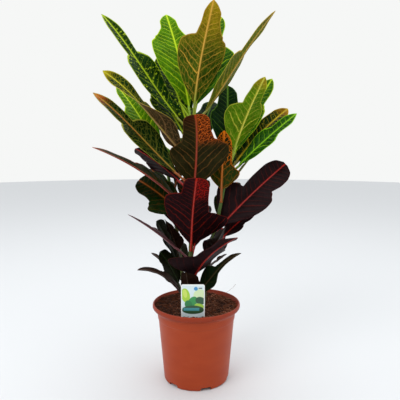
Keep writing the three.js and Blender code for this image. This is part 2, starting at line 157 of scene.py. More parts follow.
def piece(name, shape, materials, slot, *replaced, sharp=38):
    """A finished piece from a shape in millimetres, with edges sharper than this many degrees kept sharp."""
    bmesh.ops.scale(shape, vec=(MM, MM, MM), verts=shape.verts)
    mesh = as_mesh(name, shape)
    mesh.shade_smooth()
    mesh.set_sharp_from_angle(angle=math.radians(sharp))
    for material in materials:
        mesh.materials.append(material)
    made = put(name, mesh)
    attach(made, 'root')
    if replaced:
        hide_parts(*replaced)


pot = bmesh.new()
profile = [Vector(p) for p in FOOT + OUTER_WALL] + flowing(LIP, 3) + [Vector(p) for p in INNER_WALL + PLATE]
points = [pot.verts.new((p.x, 0, p.y)) for p in profile]
walls = [pot.edges.new((points[k], points[k - 1])) for k in range(len(points))
         if profile[k - 1] != profile[k]]
bmesh.ops.spin(pot, geom=points + walls, cent=(0, 0, 0), axis=(0, 0, 1), angle=math.tau, steps=POT_STEPS,
               use_merge=True)
bmesh.ops.remove_doubles(pot, verts=pot.verts, dist=1e-3)
bmesh.ops.recalc_face_normals(pot, faces=pot.faces)
openings = bmesh.new()
for turn in NOTCH_TURNS:
    notch = bmesh.ops.create_cube(openings, size=1)['verts']
    bmesh.ops.scale(openings, vec=NOTCH_SIZE, verts=notch)
    bmesh.ops.translate(openings, vec=(NOTCH_RADIUS, 0, 0), verts=notch)
    shoulders = [e for e in dict.fromkeys(e for v in notch for e in v.link_edges)
                 if abs(e.verts[0].co.x - e.verts[1].co.x) > 1 and e.verts[0].co.z > 1]
    rounded = bmesh.ops.bevel(openings, geom=shoulders, offset=NOTCH_ROUNDING, segments=4, profile=0.5,
                              material=-1, affect='EDGES')['verts']
    notch = list(dict.fromkeys([v for v in notch if v.is_valid] + rounded))
    bmesh.ops.rotate(openings, cent=(0, 0, 0), matrix=Matrix.Rotation(turn, 3, 'Z'), verts=notch)
    place = Matrix.Translation((DRAIN_AT * math.cos(turn), DRAIN_AT * math.sin(turn), DRAIN_MIDDLE))
    bmesh.ops.create_cone(openings, cap_ends=True, segments=24, radius1=DRAIN_RADIUS, radius2=DRAIN_RADIUS,
                          depth=DRAIN_DEPTH, matrix=place)
pot = cut(pot, openings)

# Moulded polypropylene: a soft satin skin with a grain of 0.7 mm and faint flow streaks 20 mm apart, painted
# darker on the lip as shade, with patches of dry dust 18 mm across.
terracotta, tree, shader = finish('moulded terracotta polypropylene', Roughness=0.42, IOR=1.49,
                                  Specular_IOR_Level=0.2)
where = add(tree, 'TexCoord').outputs['Object']
height = add(tree, 'SeparateXYZ', where).outputs['Z']
streaks = add(tree, 'TexNoise', add(tree, 'Mapping', where, Scale=(14, 14, 50)), Scale=1, Detail=4)
shade = add(tree, 'ValToRGB', streaks, stops=((0.3, TERRACOTTA_DEEP), (0.62, TERRACOTTA)))
# painted shade: from 148 mm up, the colour darkens towards the lip's shade colour
lip = add(tree, 'MapRange', height, From_Min=0.148, From_Max=0.16, To_Max=0.7,
          interpolation_type='SMOOTHSTEP')
with_lip_shade = add(tree, 'Mix', lip, shade, linear(LIP_PAINTED_SHADE), data_type='RGBA')
dust = add(tree, 'TexNoise', where, Scale=55, Detail=6, Roughness=0.65)
dusty = add(tree, 'MapRange', dust, From_Min=0.6, From_Max=0.8, To_Max=0.16)
feed(shader.inputs['Base Color'], add(tree, 'Mix', dusty, with_lip_shade, linear(PEAT_DUST), data_type='RGBA'))
grain = add(tree, 'TexNoise', where, Scale=1400, Detail=2)
feed(shader.inputs['Normal'], add(tree, 'Bump', Height=grain, Strength=0.12, Distance=0.0002))
piece('nursery_pot', pot, [terracotta], 'pot', 'pot')

# The bed of peat: dark damp fibres pressed into the pot, crumbly on top. It lies about a finger's width
# below the rim, climbs the wall a little, and leans so that it stands higher on the left.
SOIL_WALL = [(0, 9.75), (34, 9.75), (69, 9.75), (80.2, 135), (82.45, 146), (83.3, 150), (87.3, 158.2)]
SOIL_EDGE = 88.6
SOIL_TOP = 156
SOIL_CLIMB = 5
SOIL_LEAN = 2.2
SOIL_SWELL = 1.1
SOIL_TURNS = 220
SOIL_ROWS = 64
# spacing and height of coarse and fine clods, and the layer of noise that each is taken from
CLODS = [(7, 1.5, 0), (2.6, 0.9, 9)]


def soil_height(x, y):
    """Height of the crumbly top of the peat."""
    share = min(math.hypot(x, y) / SOIL_EDGE, 1)
    swell = math.sin(x * 0.21 + 1.3) * math.cos(y * 0.17 + 0.4) + 0.6 * math.sin((x + y) * 0.37)
    clods = sum(rise * noise.noise(Vector((x, y, layer)) / spacing) for spacing, rise, layer in CLODS)
    lean = SOIL_LEAN * share ** 2 * -x / SOIL_EDGE
    return SOIL_TOP + SOIL_CLIMB * share ** 3 + SOIL_SWELL * swell * (1 - share ** 6) + clods + lean


peat = bmesh.new()
ring_count = len(SOIL_WALL) + SOIL_ROWS
for vert in bmesh.ops.create_grid(peat, x_segments=SOIL_TURNS, y_segments=ring_count, size=1)['verts']:
    turn = math.pi * vert.co.x
    ring = round((vert.co.y + 1) / 2 * ring_count)
    if ring < len(SOIL_WALL):
        radius, z = SOIL_WALL[ring]
        vert.co = (radius * math.cos(turn), radius * math.sin(turn), z)
    else:
        radius = SOIL_EDGE * (1 - (ring - len(SOIL_WALL)) / SOIL_ROWS)
        x, y = radius * math.cos(turn), radius * math.sin(turn)
        vert.co = (x, y, soil_height(x, y))
bmesh.ops.remove_doubles(peat, verts=peat.verts, dist=1e-3)
bmesh.ops.recalc_face_normals(peat, faces=peat.faces)

# Damp peat: no gloss at all, brown on its clods of 4 mm and almost black in the hollows of its bump, a
# painted shade, and painted paler towards the right as light and darker to the left as shade.
damp_peat, tree, shader = finish('damp fibrous peat', Roughness=0.95, Specular_IOR_Level=0.1)
where = add(tree, 'TexCoord').outputs['Object']
clods = add(tree, 'TexNoise', where, Scale=260, Detail=7, Roughness=0.7)
# painted light: the colour is lifted towards the right and lowered to the left
painted_light_to_right = add(tree, 'MapRange', add(tree, 'SeparateXYZ', where).outputs['X'], From_Min=-0.085, From_Max=0.085,
            To_Min=-0.14, To_Max=0.2)
# the same noise drives the bump, so the hollows are painted dark as shade
dark = add(tree, 'ValToRGB', add(tree, 'Math', clods, painted_light_to_right, operation='ADD'),
           stops=((0.0, '#0a0403'), (1.0, '#744026')))
feed(shader.inputs['Base Color'], dark)
feed(shader.inputs['Normal'], add(tree, 'Bump', Height=clods, Strength=0.6, Distance=0.001))
piece('peat_bed', peat, [damp_peat], 'soil', 'soil')

# The crumbs: bits of the same damp peat, rubbed off it as the pot was filled. They are made as they fell,
# squashed and turned anyhow, and lie loose on the bed.
CRUMBS = 2600
CRUMB_RADIUS = (0.5, 3.4, 0.8)
rough = random.Random(11)
UP = Vector((0, 0, 1))


def join(shape, other):
    """Another shape made part of a shape. The other one is used up."""
    mesh = as_mesh('joining', other)
    shape.from_mesh(mesh)
    bpy.data.meshes.remove(mesh)


def scatter(count, make_one, batch=50):
    """Many small bits, made a batch at a time and then joined."""
    heap = bmesh.new()
    for first in range(0, count, batch):
        few = bmesh.new()
        for _ in range(min(batch, count - first)):
            make_one(few)
        join(heap, few)
    return heap


def on_peat(reach):
    """A place on top of the peat, within this share of its radius."""
    radius = SOIL_EDGE * reach * math.sqrt(rough.random())
    turn = rough.uniform(0, math.tau)
    x, y = radius * math.cos(turn), radius * math.sin(turn)
    return Vector((x, y, soil_height(x, y)))


def anyhow():
    """A turn to any side."""
    angle = rough.uniform(0, math.tau)
    return Matrix.Rotation(angle, 4, Vector([rough.uniform(-1, 1) for _ in 'xyz']).normalized())


def crumb(shape):
    """One crumb, sunk a little into the peat."""
    size = rough.triangular(*CRUMB_RADIUS)
    squash = Matrix.Diagonal((rough.uniform(0.7, 1.5), rough.uniform(0.6, 1.1), rough.uniform(0.5, 0.9), 1))
    place = Matrix.Translation(on_peat(0.97) + UP * (size * 0.15)) @ anyhow() @ squash
    bmesh.ops.create_icosphere(shape, subdivisions=1, radius=size, matrix=place)


piece('peat_crumbs', scatter(CRUMBS, crumb), [damp_peat], 'soil')

# The dry strands: thin bits of sphagnum and bast that came loose from the peat. Each tapers, bows to one
# side and stands up a little in its middle, and they lie all over the bed.
STRANDS = 1000
STRAND_LENGTH = (6, 34, 14)
STRAND_RADIUS = (0.25, 0.8)


def strand(shape):
    """One strand, four sided, with its paleness, raised towards the right as painted light, as an attribute.
    """
    tint = shape.verts.layers.float.get('tint') or shape.verts.layers.float.new('tint')
    middle = on_peat(0.96)
    turn = rough.uniform(0, math.tau)
    length = rough.triangular(*STRAND_LENGTH)
    along = Vector((math.cos(turn), math.sin(turn), rough.uniform(-0.12, 0.12)))
    aside = Vector((-along.y, along.x, 0))
    bow = aside * rough.uniform(-0.3, 0.3) * length + UP * (0.9 + 0.08 * length)
    thick = rough.uniform(*STRAND_RADIUS)
    ends = bmesh.ops.create_cone(shape, cap_ends=True, segments=4, radius1=thick, radius2=thick * 0.5,
                                 depth=length)['verts']
    lengthways = [e for e in dict.fromkeys(e for v in ends for e in v.link_edges)
                  if abs(e.verts[0].co.z - e.verts[1].co.z) > 1]
    # the paleness is random dryness, raised towards the right and lowered to the left as painted light
    paleness_and_painted_light = rough.random() ** 2.4 * (0.85 + 0.6 * middle.x / SOIL_EDGE)
    for vert in ends:
        vert[tint] = paleness_and_painted_light
        vert.co = middle + along * vert.co.z + aside * vert.co.x + UP * vert.co.y
    new = bmesh.ops.subdivide_edges(shape, edges=lengthways, cuts=4)['geom_inner']
    for vert in (v for v in new if isinstance(v, bmesh.types.BMVert)):
        share = 2 * (vert.co - middle).dot(along) / length
        vert.co += bow * (1 - share ** 2)


# Dry bast and moss: dull, from the dark brown of the peat to pale straw by how dry each strand is, and paler
# towards the right and darker to the left as painted light.
dry_fibre, tree, shader = finish('dry plant fibre', Roughness=0.85, Specular_IOR_Level=0.2)
tint = add(tree, 'Attribute', attribute_name='tint').outputs['Fac']
feed(shader.inputs['Base Color'], add(tree, 'ValToRGB', tint, stops=((0.0, '#1e0c07'), (1.0, '#a46c50'))))
piece('peat_strands', scatter(STRANDS, strand, batch=20), [dry_fibre], 'soil')

# The stray fibre: one long fibre of bast, as fine as a hair, of the same dry stuff as the strands. It is
# held by the peat at one end and stands out over the rim.
STRAY = [(52, 60, 160), (76, 58, 170), (90, 50, 192)]
STRAY_RADIUS = 0.3
STRAY_PARTS = 12
STRAY_PALENESS = 0.5
fibre = bmesh.new()
fibre_tint = fibre.verts.layers.float.new('tint')
low, knee, high = (Vector(p) for p in STRAY)
path = [low * (1 - t) ** 2 + knee * 2 * t * (1 - t) + high * t * t
        for t in (k / STRAY_PARTS for k in range(STRAY_PARTS + 1))]
bmesh.ops.create_cone(fibre, cap_ends=True, segments=6, radius1=STRAY_RADIUS, radius2=STRAY_RADIUS, depth=2)
for vert in fibre.verts:
    vert[fibre_tint] = STRAY_PALENESS
lengthways = [e for e in fibre.edges if abs(e.verts[0].co.z - e.verts[1].co.z) > 1]
bmesh.ops.subdivide_edges(fibre, edges=lengthways, cuts=STRAY_PARTS - 1)
for vert in fibre.verts:
    vert.co = path[round((vert.co.z + 1) / 2 * STRAY_PARTS)] + Vector((vert.co.x, vert.co.y, 0))
piece('stray_fibre', fibre, [dry_fibre], 'soil')

# The bark chips: flakes of pine bark, mixed into the peat to keep it open. They are broken, not cut, so
# their outlines are uneven, and they lie nearly flat.
CHIPS = 130
CHIP_LENGTH = (3, 10, 4)
CHIP_THICKNESS = (0.8, 1.8)
# the vector noise that breaks their outlines is seeded by the clock unless it is given a seed
noise.seed_set(11)


def chip(shape):
    """One chip of bark."""
    length = rough.triangular(*CHIP_LENGTH)
    sizes = (length, length * rough.uniform(0.35, 0.7), rough.uniform(*CHIP_THICKNESS))
    tilt = (Matrix.Rotation(rough.uniform(-0.4, 0.4), 4, 'X')
            @ Matrix.Rotation(rough.uniform(0, math.tau), 4, 'Z'))
    place = Matrix.Translation(on_peat(0.93) + UP * 0.7) @ tilt @ Matrix.Diagonal((*sizes, 1))
    for vert in bmesh.ops.create_icosphere(shape, subdivisions=2, radius=0.5, matrix=place)['verts']:
        vert.co += noise.noise_vector(vert.co / 2.2) * 0.5


# Pine bark: dull and rough, orange-brown in layers of about 11 mm.
bark, tree, shader = finish('pine bark chip', Roughness=0.8)
layers = add(tree, 'TexNoise', add(tree, 'TexCoord').outputs['Object'], Scale=90, Detail=5)
feed(shader.inputs['Base Color'], add(tree, 'ValToRGB', layers, stops=((0.35, '#3c2219'), (0.66, '#96502f'))))
feed(shader.inputs['Normal'], add(tree, 'Bump', Height=layers, Strength=0.4, Distance=0.001))
piece('bark_chips', scatter(CHIPS, chip), [bark], 'soil')

# The plant label: a die-cut card of white polystyrene, printed on its front, with a pointed foot pushed
# into the peat close to the front of the pot.
LABEL_HALF = 24
LABEL_X = -6.3
LABEL_FRONT = -70.4
LABEL_THICK = 0.8
LABEL_TOP = 229
LABEL_SHOULDER = 138
LABEL_FOOT = 112
LABEL_CORNER = 4
LABEL_EASING = 0.18
LABEL_BORDER = 2
CARD = '#eef0ee'
BORDER_PRINT = '#eef2f0'
FIELD_PRINT = '#d5e6ea'
# ovals of print: colour, place across and up, half height, how many half widths that is, and turn
OVALS = [('#cfe3b4', 14, 206, 13, 1, 0), ('#a4cc3a', -15, 206, 15, 1.7, 0.2),
         ('#c6dc62', -16, 210, 9, 2.2, 0.2), ('#2f8f4a', -1, 192, 13, 1.5, -0.6),
         ('#28563a', 15, 195, 8, 0.8, -0.3), ('#1f7a40', -9, 187, 9, 1.2, 0.4),
         ('#9cc63c', 13, 184, 5, 0.5, -0.2), ('#274f2e', 0, 176, 9, 0.4, 0), ('#3f8fc4', 6, 220, 4, 1, 0)]
# bars of print: colour, middle across and up, half width, half height, and soft edge
BARS = [('#3f8f97', -3, 177, 16, 3, 0.3), ('#6c7274', 15, 221, 3.6, 1.2, 0.2)]

label = bmesh.new()
corners = [(-LABEL_HALF, LABEL_SHOULDER), (0, LABEL_FOOT), (LABEL_HALF, LABEL_SHOULDER),
           (LABEL_HALF, LABEL_TOP), (-LABEL_HALF, LABEL_TOP)]
label.faces.new([label.verts.new((LABEL_X + x, LABEL_FRONT, z)) for x, z in corners])
bmesh.ops.bevel(label, geom=[v for v in label.verts if v.co.z == LABEL_TOP], offset=LABEL_CORNER, segments=8,
                profile=0.5, material=-1, affect='VERTICES')
sheet = bmesh.ops.extrude_face_region(label, geom=label.faces[:], use_keep_orig=True)['geom']
back = [v for v in sheet if isinstance(v, bmesh.types.BMVert)]
bmesh.ops.translate(label, vec=(0, LABEL_THICK, 0), verts=back)
bmesh.ops.recalc_face_normals(label, faces=label.faces)
rim = [e for e in label.edges if abs(e.verts[0].co.y - e.verts[1].co.y) < 0.01]
bmesh.ops.bevel(label, geom=rim, offset=LABEL_EASING, segments=2, profile=0.5, material=-1, affect='EDGES')

# Printed polystyrene: smooth, a little glossy, white, with a plain pattern of overlapping ovals. It is
# drawn in millimetres, across from the label's middle and up from the floor.
printed, tree, shader = finish('printed white polystyrene', Roughness=0.33, IOR=1.55)
where = add(tree, 'Mapping', add(tree, 'TexCoord').outputs['Object'], (-LABEL_X, 0, 0), Scale=(1000, 0, 1000))
across, _, up = add(tree, 'SeparateXYZ', where).outputs


def oval(x, z, tall, squeeze, turn):
    """1 inside an oval of print, 0 outside it."""
    spot = add(tree, 'Mapping', where, (x, 0, z), (0, -turn, 0), (1 / squeeze, 1, 1), vector_type='TEXTURE')
    reach = add(tree, 'VectorMath', spot, operation='LENGTH')
    return add(tree, 'MapRange', reach, tall - 0.3, tall + 0.3, 1, 0)


def bar(x, z, half_wide, half_high, soft):
    """1 inside a bar of print, 0 outside it."""
    shares = []
    for value, middle, half in ((across, x, half_wide), (up, z, half_high)):
        offset = add(tree, 'Math', value, middle, operation='SUBTRACT')
        apart = add(tree, 'Math', offset, operation='ABSOLUTE')
        shares.append(add(tree, 'MapRange', apart, half - soft, half + soft, 1, 0))
    return add(tree, 'Math', *shares, operation='MULTIPLY')


inside = bar(0, LABEL_FOOT, LABEL_HALF - LABEL_BORDER, LABEL_TOP - LABEL_BORDER - LABEL_FOOT, 0.15)
colour = add(tree, 'Mix', inside, linear(BORDER_PRINT), linear(FIELD_PRINT), data_type='RGBA')
for ink, *spot in OVALS:
    share = add(tree, 'Math', inside, oval(*spot), operation='MULTIPLY')
    colour = add(tree, 'Mix', share, colour, linear(ink), data_type='RGBA')
for ink, *sizes in BARS:
    colour = add(tree, 'Mix', bar(*sizes), colour, linear(ink), data_type='RGBA')
facing = add(tree, 'SeparateXYZ', add(tree, 'NewGeometry').outputs['Normal']).outputs['Y']
front = add(tree, 'Math', facing, -0.5, operation='LESS_THAN')
feed(shader.inputs['Base Color'], add(tree, 'Mix', front, linear(CARD), colour, data_type='RGBA'))
piece('plant_label', label, [printed], 'label', 'label', sharp=50)

# The three stems: young wood, grey-brown and ringed with leaf scars below, green at the growing tips.
# They are rooted in the peat.
STEM_SIDES = 16
STEM_RING = 3.4
SCAR_SPACING = 17
SCAR_AT = 4
SCAR_RISE = 0.09
KNOBBLE = 0.04
# each stem's course from inside the peat to its tip, and its radius at both ends
STEMS = {
    'A': ([(-14, -16, 60), (-12, -16, 260), (-9, -14, 400), (-8, -10, 566)], (5.5, 3.6)),
    'B': ([(8, 6, 60), (24, 4, 240), (50, 6, 370), (72, 12, 484)], (5.0, 3.2)),
    'C': ([(-20, 26, 60), (-34, 34, 240), (-50, 44, 360), (-70, 56, 490)], (4.8, 3.0)),
}


def bridge(start, end, start_pull, end_pull, span, t):
    """A smooth way between two values, or two points, that leaves and arrives with the given pulls."""
    return (start * (2 * t ** 3 - 3 * t ** 2 + 1) + start_pull * span * (t ** 3 - 2 * t ** 2 + t)
            + end * (3 * t ** 2 - 2 * t ** 3) + end_pull * span * (t ** 3 - t ** 2))


def stem_at(stem, height):
    """Centre and radius of a stem at a height: a smooth curve through the stem's points."""
    points = [Vector(p) for p in STEMS[stem][0]]
    low, high = points[0].z, points[-1].z
    z = min(max(height, low), high)
    k = max(j for j in range(len(points) - 1) if points[j].z <= z)

    def pull(i):
        before, after = points[max(i - 1, 0)], points[min(i + 1, len(points) - 1)]
        return (after - before) / (after.z - before.z)

    span = points[k + 1].z - points[k].z
    centre = bridge(points[k], points[k + 1], pull(k), pull(k + 1), span, (z - points[k].z) / span)
    centre.z = z
    wide, slim = STEMS[stem][1]
    return centre, wide + (slim - wide) * (z - low) / (high - low)


def rolled(shape, sides, rings, place):
    """A round bar: a grid rolled up. place(vert, turn, ring) sets each point, and closes both ends."""
    made = bmesh.ops.create_grid(shape, x_segments=sides, y_segments=rings, size=1)['verts']
    for vert in made:
        place(vert, math.pi * vert.co.x, round((vert.co.y + 1) / 2 * rings))
    bmesh.ops.remove_doubles(shape, verts=made, dist=1e-3)
    bmesh.ops.recalc_face_normals(shape, faces=shape.faces)


# Young croton bark: dull, grey-brown with fine upright cracks 2 mm apart, turning to smooth green skin
# near the top.
green_bark, tree, shader = finish('young croton bark', Roughness=0.6)
where = add(tree, 'TexCoord').outputs['Object']
height = add(tree, 'SeparateXYZ', where).outputs['Z']
cracks = add(tree, 'TexNoise', add(tree, 'Mapping', where, Scale=(420, 420, 90)), Scale=1, Detail=5)
woody = add(tree, 'ValToRGB', cracks, stops=((0.3, '#2c2a18'), (0.7, '#66683a')))
growing = add(tree, 'MapRange', height, From_Min=0.16, From_Max=0.44)
feed(shader.inputs['Base Color'], add(tree, 'Mix', growing, woody, linear('#46641c'), data_type='RGBA'))
feed(shader.inputs['Normal'], add(tree, 'Bump', Height=cracks, Strength=0.5, Distance=0.0006))

for key, (points, _) in STEMS.items():
    low, high = points[0][2], points[-1][2]
    rings = int((high - low) / STEM_RING)

    def stem_point(vert, turn, ring):
        height = low + (high - low) * min(max(ring - 1, 0), rings - 2) / (rings - 2)
        centre, radius = stem_at(key, height)
        scar = math.exp(-((height / SCAR_SPACING) % 1 * SCAR_SPACING - SCAR_AT) ** 2 / 2.5)
        radius *= 1 + SCAR_RISE * scar + KNOBBLE * noise.noise(centre / 9)
        radius *= 0 if ring in (0, rings) else 1
        vert.co = centre + Vector((radius * math.cos(turn), radius * math.sin(turn), 0))

    stem = bmesh.new()
    rolled(stem, STEM_SIDES, rings, stem_point)
    piece('stem_' + key.lower() + '_wood', stem, [green_bark], 'stem', 'stem_' + key.lower())

# The leaves: croton leaves, each with a stalk, a stout midrib, two broad lobes and a long tongue, leathery
# and quilted between side veins that run out to the margin. Each grows from a joint of its stem.
GAP = 0.35
BLADE = 0.7
HALF_COLUMNS = 12
ROW_SPACING = 2.2
SPINE_STEPS = 160
BASE_PULL, TIP_PULL = 0.36, 0.34
VEIN_SPACING = 13
# this share of the side veins is spaced evenly, and the rest crowd towards the tip
EVEN_VEINS = 0.45
# how far a side vein runs up the leaf for each millimetre outwards, in the lobes and in the tongue
LOBE_SLANT, TONGUE_SLANT = 0.85, 0.4
VEIN_CURVE = 0.004
RIGHT_VEINS_LATER = 0.4
QUILT, HIGHEST_QUILT = 0.08, 1.2
STALK_RADIUS, RIB_LOSS, RIB_TIP = 2.1, 0.35, 0.3
RIB_RING, RIB_END = 5, 0.985
RIB_PROUD = 0.55
LOBE_END = 0.63
# where a side vein leaves the midrib, where it ends along it, and its shares of lobe, waist and tongue
VEINS = [
    (0.00, 0.03, 0.10, 0, 0), (0.03, 0.14, 0.42, 0, 0), (0.09, 0.27, 0.72, 0, 0),
    (0.17, 0.40, 0.93, 0, 0), (0.25, 0.51, 1.00, 0, 0), (0.33, 0.60, 0.95, 0, 0),
    (0.40, 0.64, 0.78, 0, 0), (0.46, 0.665, 0.34, 0.60, 0), (0.53, 0.68, 0, 1, 0),
    (0.62, 0.73, 0, 0.5, 0.5), (0.71, 0.80, 0, 0, 1), (0.80, 0.88, 0, 0, 0.93),
    (0.88, 0.925, 0, 0, 0.72), (0.95, 0.966, 0, 0, 0.42), (1.00, 1.00, 0, 0, 0.02),
]
# The kinds of leaf on the plant: ground and veins above, ground and veins below, the stalk, and the tips
# above and below; how strong the fine net, the speckle, the margin line and the side veins are; and where
# along the blade the colours of its tip begin.
KINDS = {
    'crown': ('#3f760c #c4d834 #344c08 #d0a038 #8a9a28 #7a8210 #947e0c', (0.25, 0.1, 0.6, 1), 0.42),
    'lime': ('#427004 #c0dc24 #4c7c14 #a8c834 #8cb028 #4a8404 #5c7c18', (0.15, 0.1, 0.9, 1), 0.7),
    'bright': ('#123f04 #80b818 #245808 #84ac24 #7ca024 #205806 #34640c', (0.1, 0.1, 1, 1), 0.8),
    'green': ('#306404 #bccc38 #4a7204 #c4c040 #9cb034 #606c0a #987c10', (0.15, 0.1, 0.6, 1), 0.76),
    'spear': ('#2a5008 #b0a828 #546414 #c4a040 #84842c #2a5008 #6c6014', (0.15, 0.1, 0.9, 1), 0.8),
    'vivid': ('#265806 #b8d428 #2c5a08 #a8c830 #9cb034 #2c6006 #34640c', (0.1, 0.1, 0.9, 1), 0.8),
    'dark': ('#0b2e05 #a4bc20 #22380e #8c8c30 #8c9428 #103404 #22380e', (0.05, 0.8, 1, 0.5), 0.9),
    'deep': ('#07240a #5c8420 #122c0c #5c7c2c #486024 #07240a #122c0e', (0.05, 0.1, 0.9, 0.6), 0.9),
    'olive': ('#2c360a #747420 #303010 #747028 #5a5c20 #3c3a0c #404014', (0.1, 0.2, 0.3, 0.7), 0.8),
    'russet': ('#0e2a06 #b4ac24 #382f1a #a87c50 #98783c #a48c14 #382f1a', (0.3, 0.4, 1, 0.6), 0.88),
    'rimmed': ('#0b2805 #bca01c #22360e #988024 #8c7c20 #a06c08 #70500c', (0.05, 0.4, 1, 0.9), 0.8),
    'flame': ('#082408 #a8a83c #16240a #8c7434 #c06c34 #b84a1c #903c18', (0.22, 0.15, 0.9, 0.4), 0.8),
    'knife': ('#14240a #8c4428 #2c2012 #9c483c #a03c2c #3c3410 #4c3418', (0.1, 0.1, 1, 0.35), 0.8),
    'ember': ('#0a2006 #8c4c14 #121c08 #644014 #8c4418 #081c06 #101a08', (0.05, 0.1, 0.15, 0.35), 0.8),
    'red': ('#1e2008 #983c14 #24220b #7c5428 #b02c14 #341206 #34140a', (0.05, 0.1, 0.4, 0.9), 0.6),
    'orange': ('#102006 #a85008 #22320a #c86c10 #a05414 #20200a #241e08', (0.1, 0.1, 0.8, 0.7), 0.5),
    'blush': ('#16080a #74180f #1b0b0e #801c10 #b82818 #1c080c #260c10', (0.05, 0.1, 0.5, 0.8), 0.6),
    'maroon': ('#1d1113 #541814 #231719 #4e1a18 #b0241c #180d0e #1e1415', (0.05, 0.05, 0.4, 0.7), 0.7),
    'rust': ('#0c1c0a #3c3420 #101e0c #444024 #443420 #30201a #38261e', (0.05, 0.1, 0.3, 0.6), 0.45),
    'umber': ('#241812 #48342a #2a1c16 #503c30 #443028 #2c1e1a #32221c', (0.05, 0.1, 0.3, 0.5), 0.6),
    'black': ('#1c0f08 #381c10 #1f110b #302014 #302012 #0d0a06 #100d09', (0.05, 0.05, 0.2, 0.6), 0.9),
    'bottle': ('#171809 #223014 #18190c #24301a #283818 #08140a #0e160c', (0.05, 0.05, 0.2, 0.6), 0.9),
    'purple': ('#1a0e10 #703438 #382224 #785052 #6c363c #1a0e10 #382224', (0.1, 0.1, 0.4, 0.6), 0.9),
}
# The kinds with a flushed tongue: on its left (-1) or on both sides (0), in what ground and veins, and from
# where along the blade.
FLUSHES = {'red': (-1, '#481e08', '#d86420', 0.45),
           'orange': (0, '#1c220a', '#e0740e', 0.34),
           'blush': (-1, '#30080a', '#a8180f', 0.55)}
# The kinds whose midrib keeps the red of the stalk: how far from its middle that goes, in millimetres, and
# the share of the veins' colour in it.
RED_RIBS = ('red', 'blush', 'flame', 'knife', 'ember', 'maroon')
RED_RIB_HALF, RED_RIB_SHARE = 1.5, 0.2
# Leaves from above the first height on their stem are young, as the named ones are, and those from below
# the second are old.
YOUNG_ABOVE, OLD_BELOW = 500, 380
YOUNG = ('young_left', 'right_front', 'right_behind', 'right_tip', 'right_long')
